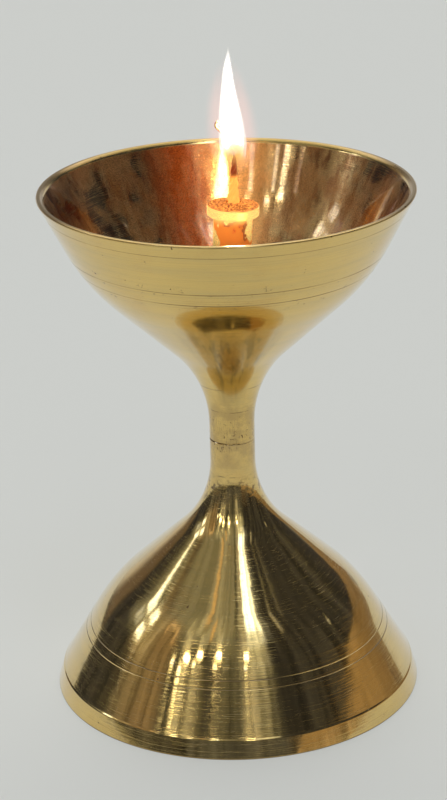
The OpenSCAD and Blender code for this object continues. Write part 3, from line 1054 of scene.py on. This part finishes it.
def make_floor():
    """A plain pale table top that fills the view."""
    corners = ((-1, -1), (1, -1), (1, 1), (-1, 1))
    floor = add_object("floor", [(FLOOR_REACH * x, FLOOR_REACH * y, 0) for x, y in corners], [(0, 1, 2, 3)])
    material, nodes, shader = new_material("floor_paper")
    nodes.fill(shader, {"Base Color": FLOOR_PAPER, "Roughness": 0.9, "Specular IOR Level": 0.1})
    rays = nodes.add("ShaderNodeLightPath").outputs
    seen = largest(nodes, [rays["Is Camera Ray"], rays["Is Glossy Ray"], rays["Is Transmission Ray"]])
    page = nodes.add("ShaderNodeEmission", PAGE, 1.0)
    share = product(nodes, seen, PAGE_SHARE)
    nodes.show(nodes.add("ShaderNodeMixShader", share, shader.outputs[0], page.outputs[0]))
    floor.data.materials.append(material)


# Soft lights and walls of the room as seen from the lamp: azimuth 0 is towards the viewer, 90 to the right.
# Each is (azimuth from, to, elevation from, to, soft edge, brightness, colour), angles in degrees.
DAYLIGHT = (0.86, 0.97, 1.25)
TAN = (0.96, 1.0, 0.93)
AMBER = (1.0, 0.72, 0.45)
PLAIN = (1.0, 1.0, 0.97)
ORANGE_LAMP = (1.0, 0.62, 0.25)
ROOM_LIGHTS = [
    (-92, -2, 46, 96, 7, 0.23, TAN),
    (-62, -8, 36, 56, 6, 0.06, TAN),
    (-14, 4, 34, 46, 3, 0.12, TAN),
    (12, 24.5, 57, 78, 3, 4.5, DAYLIGHT),
    (27.5, 31.5, 55, 70, 2, 2.2, DAYLIGHT),
    (10, 31, 48, 78, 3, 0.6, DAYLIGHT),
    (30, 38, 50, 70, 3, 0.25, DAYLIGHT),
    (2, 12, 38, 78, 4, 0.30, PLAIN),
    (12, 23, 34, 54, 3, 0.50, TAN),
    (22, 29, 34, 54, 3, 0.28, TAN),
    (-110, -102, 33.5, 39, 1.2, 3.4, DAYLIGHT),
    (-99, -92, 34, 40, 1.2, 2.8, DAYLIGHT),
    (-100, -93, 24, 30, 1.2, 3.2, DAYLIGHT),
    (-111, -103, 25, 31, 1.2, 0.6, DAYLIGHT),
    (-118, -80, 22, 44, 4, 0.18, TAN),
    (-100, -60, 18, 46, 6, 0.17, AMBER),
    (-76, -66, 44.5, 47, 1, 0.5, AMBER),
    (-66.5, -64, 38, 46, 1, 0.4, AMBER),
    (-78, -75.5, 39, 46, 1, 0.4, AMBER),
    (-152, -131, 2, 24, 3, 0.12, AMBER),
    (-100, -46, 2, 24, 6, 0.05, PLAIN),
    (-50, -28, 20, 37, 4, 0.30, PLAIN),
    (-44, -18, 12, 26, 5, 0.08, PLAIN),
    (-20, 30, 12, 34, 6, 0.06, TAN),
    (-32, 32, 3, 13, 3, 0.05, DAYLIGHT),
    (4, 13, 17, 37, 3, 0.30, PLAIN),
    (50, 54, 50, 62, 1.5, 0.35, PLAIN),
    (64, 67, 55, 62, 1.5, 0.15, PLAIN),
    (30, 50, 4, 22, 4, 0.06, AMBER),
    (34, 100, -4, 5, 1, 0.30, AMBER),
    (100, 146, -4, 5, 1, 0.20, AMBER),
    (173, 181, 12, 24, 2, 0.25, TAN),
]
# Bright runs of the ceiling above the lamps
ROOM_LIGHTS += [
    (-22, -17, 46, 56, 2, 0.28, PLAIN),
    (-27, -21, 54, 65, 2.5, 0.18, PLAIN),
    (-33, -26, 61, 72, 3, 0.12, PLAIN),
    (-41, -36, 43, 52, 2, 0.28, PLAIN),
    (-47, -41, 51, 61, 2.5, 0.15, PLAIN),
    (-53, -48, 39, 48, 2, 0.30, PLAIN),
    (-58, -53, 46, 56, 2.5, 0.18, PLAIN),
    (5, 10, 45, 58, 2, 0.20, PLAIN),
    (-44, -39, 58, 69, 1.2, 0.8, ORANGE_LAMP),
    (-31, -28, 50, 62, 1.0, 1.0, ORANGE_LAMP),
]
# Lamps: (azimuth, elevation, half width, half height, brightness)
LAMPS = [
    (-56, 31, 1.6, 1.3, 4.0),
    (-46, 36.5, 2.4, 1.9, 12.0),
    (-35.5, 41, 2.3, 1.5, 11.0),
    (-18, 43.5, 2.5, 1.6, 11.0),
    (8, 43, 2.4, 1.7, 11.0),
    (-49, 30.5, 1.4, 1.0, 7.0),
    (-38.5, 35, 1.4, 1.0, 7.0),
    (-20, 37, 1.5, 1.0, 6.0),
    (6.5, 37, 1.5, 1.0, 6.0),
    (96, 31, 1.2, 1.2, 0.8),
]
# The room, the floor and the shelf
ROOM_DARK = (0.044, 0.046, 0.060, 1)
BACKDROP = 0.55
BACKDROP_TOP = 10
BACK_LIGHT = 2.2
FLOOR_REACH = 4000
FLOOR_PAPER = (0.80, 0.805, 0.775, 1)
PAGE = (0.67, 0.685, 0.65, 1)
PAGE_SHARE = 0.6
FAR_PAGE = (0.601, 0.614, 0.588, 1)
FOLDS = 0.55
SHELF_Z = 74
SHELF_NEAR = (210, 58)
SHELF_FAR = (900, 34)
SHELF_END = 148
SHELF_LIGHT = (0.38, 0.24)


def make_shelf():
    """The underside of an amber shelf at the right, out of view, mirrored only by brass that looks up."""
    verts, faces = [], []
    steps = 48
    for k in range(steps + 1):
        for reach, start in (SHELF_NEAR, SHELF_FAR):
            turn = math.radians(start + (SHELF_END - start) * k / steps)
            verts.append((reach * math.sin(turn), -reach * math.cos(turn), SHELF_Z))
        if k:
            faces.append((2 * k - 2, 2 * k, 2 * k + 1, 2 * k - 1))
    shelf = add_object("amber_shelf", verts, faces)
    material, nodes, _ = new_material("amber_shelf")
    position, x, y = place(nodes)[:3]
    azimuth = nodes.math("DEGREES", nodes.math("ARCTAN2", x, product(nodes, y, -1.0)))
    bright = nodes.ramp(azimuth, 88, 116, *SHELF_LIGHT)
    worn = nodes.ramp(nodes.noise(position, 0.02, 4, 0.6), 0.3, 0.7, 0.75, 1.25)
    glow = nodes.add("ShaderNodeEmission", AMBER + (1,), product(nodes, bright, worn))
    clear = nodes.add("ShaderNodeBsdfTransparent")
    mirrored = nodes.add("ShaderNodeLightPath").outputs["Is Glossy Ray"]
    above = nodes.add("ShaderNodeNewGeometry").outputs["Backfacing"]
    share = product(nodes, mirrored, nodes.math("SUBTRACT", 1.0, above))
    nodes.show(nodes.add("ShaderNodeMixShader", share, clear.outputs[0], glow.outputs[0]))
    shelf.data.materials.append(material)


def scaled(colour, by):
    """A colour made brighter or darker, with its alpha."""
    return tuple(by * c for c in colour) + (1,)


def make_world():
    """A dim room in front with soft windows, a pale sweep and a broad soft light behind."""
    world = bpy.data.worlds.new("studio")
    bpy.context.scene.world = world
    world.use_nodes = True
    nodes = Nodes(world.node_tree)
    direction = nodes.add("ShaderNodeTexCoord").outputs["Generated"]
    x, y, z = nodes.add("ShaderNodeSeparateXYZ", direction).outputs
    azimuth = nodes.math("DEGREES", nodes.math("ARCTAN2", x, product(nodes, y, -1.0)))
    elevation = nodes.math("DEGREES", nodes.math("ARCSINE", z))
    away = nodes.math("ABSOLUTE", azimuth)
    total = ROOM_DARK
    low_down = nodes.ramp(elevation, BACKDROP_TOP, BACKDROP_TOP + 6, 1, 0.25)
    sweep = product(nodes, nodes.ramp(away, 140, 154), low_down)
    total = nodes.mix(sweep, total, scaled(PLAIN, BACKDROP))
    high_back = product(nodes, nodes.ramp(away, 116, 150), nodes.band(elevation, 34, 84, 8))
    total = nodes.mix(high_back, total, scaled(PLAIN, BACK_LIGHT))
    lamps = [(az - w, az + w, el - h, el + h, 0.8, bright, PLAIN) for az, el, w, h, bright in LAMPS]
    for low, high, bottom, top, edge, bright, tone in ROOM_LIGHTS + lamps:
        wide, tall = nodes.band(azimuth, low, high, edge), nodes.band(elevation, bottom, top, edge)
        lit = nodes.add("ShaderNodeMix", data_type="RGBA", blend_type="ADD")
        for i, value in ((0, product(nodes, wide, tall)), (6, total), (7, scaled(tone, bright))):
            nodes.put(lit, i, value)
        total = lit.outputs[2]
    hanging = nodes.noise(nodes.vector(azimuth, 0.0, product(nodes, elevation, 0.12)), 0.16, 4, 0.65)
    folds = nodes.ramp(hanging, 0.3, 0.7, 1 - FOLDS, 1 + FOLDS)
    draped = nodes.add("ShaderNodeVectorMath", total, operation="SCALE")
    nodes.put(draped, "Scale", folds)
    total = nodes.mix(nodes.ramp(away, 118, 140), draped.outputs[0], total)
    seen = nodes.add("ShaderNodeLightPath").outputs["Is Camera Ray"]
    colour = nodes.mix(seen, total, FAR_PAGE)
    background = nodes.add("ShaderNodeBackground", colour, 1.0)
    nodes.add("ShaderNodeOutputWorld", background.outputs[0])


# The camera, fitted to the rim, the stem and the foot: place in metres, focal length, angles in degrees
CAMERA_AT = (0, -0.56025, 0.29475)
CAMERA_LENS = 111.47
CAMERA_ANGLES = (21.503, -1.502, -0.195)


def make_camera():
    """The photograph's view."""
    data = bpy.data.cameras.new("photo_camera")
    data.sensor_width = 36
    data.lens = CAMERA_LENS
    data.clip_start = 0.05
    data.clip_end = 50
    pitch, roll, yaw = (math.radians(a) for a in CAMERA_ANGLES)
    forward = Vector((math.sin(yaw) * math.cos(pitch), math.cos(yaw) * math.cos(pitch), -math.sin(pitch)))
    level = Vector((math.cos(yaw), -math.sin(yaw), 0))
    upward = level.cross(forward)
    right = level * math.cos(roll) + upward * math.sin(roll)
    up = upward * math.cos(roll) - level * math.sin(roll)
    camera = bpy.data.objects.new("photo_camera", data)
    bpy.context.scene.collection.objects.link(camera)
    turned = Matrix((right, up, -forward)).transposed().to_4x4()
    camera.matrix_world = Matrix.Translation(CAMERA_AT) @ turned
    bpy.context.scene.camera = camera


make_floor()
make_shelf()
make_world()
make_camera()
bpy.context.scene.view_settings.view_transform = "Standard"
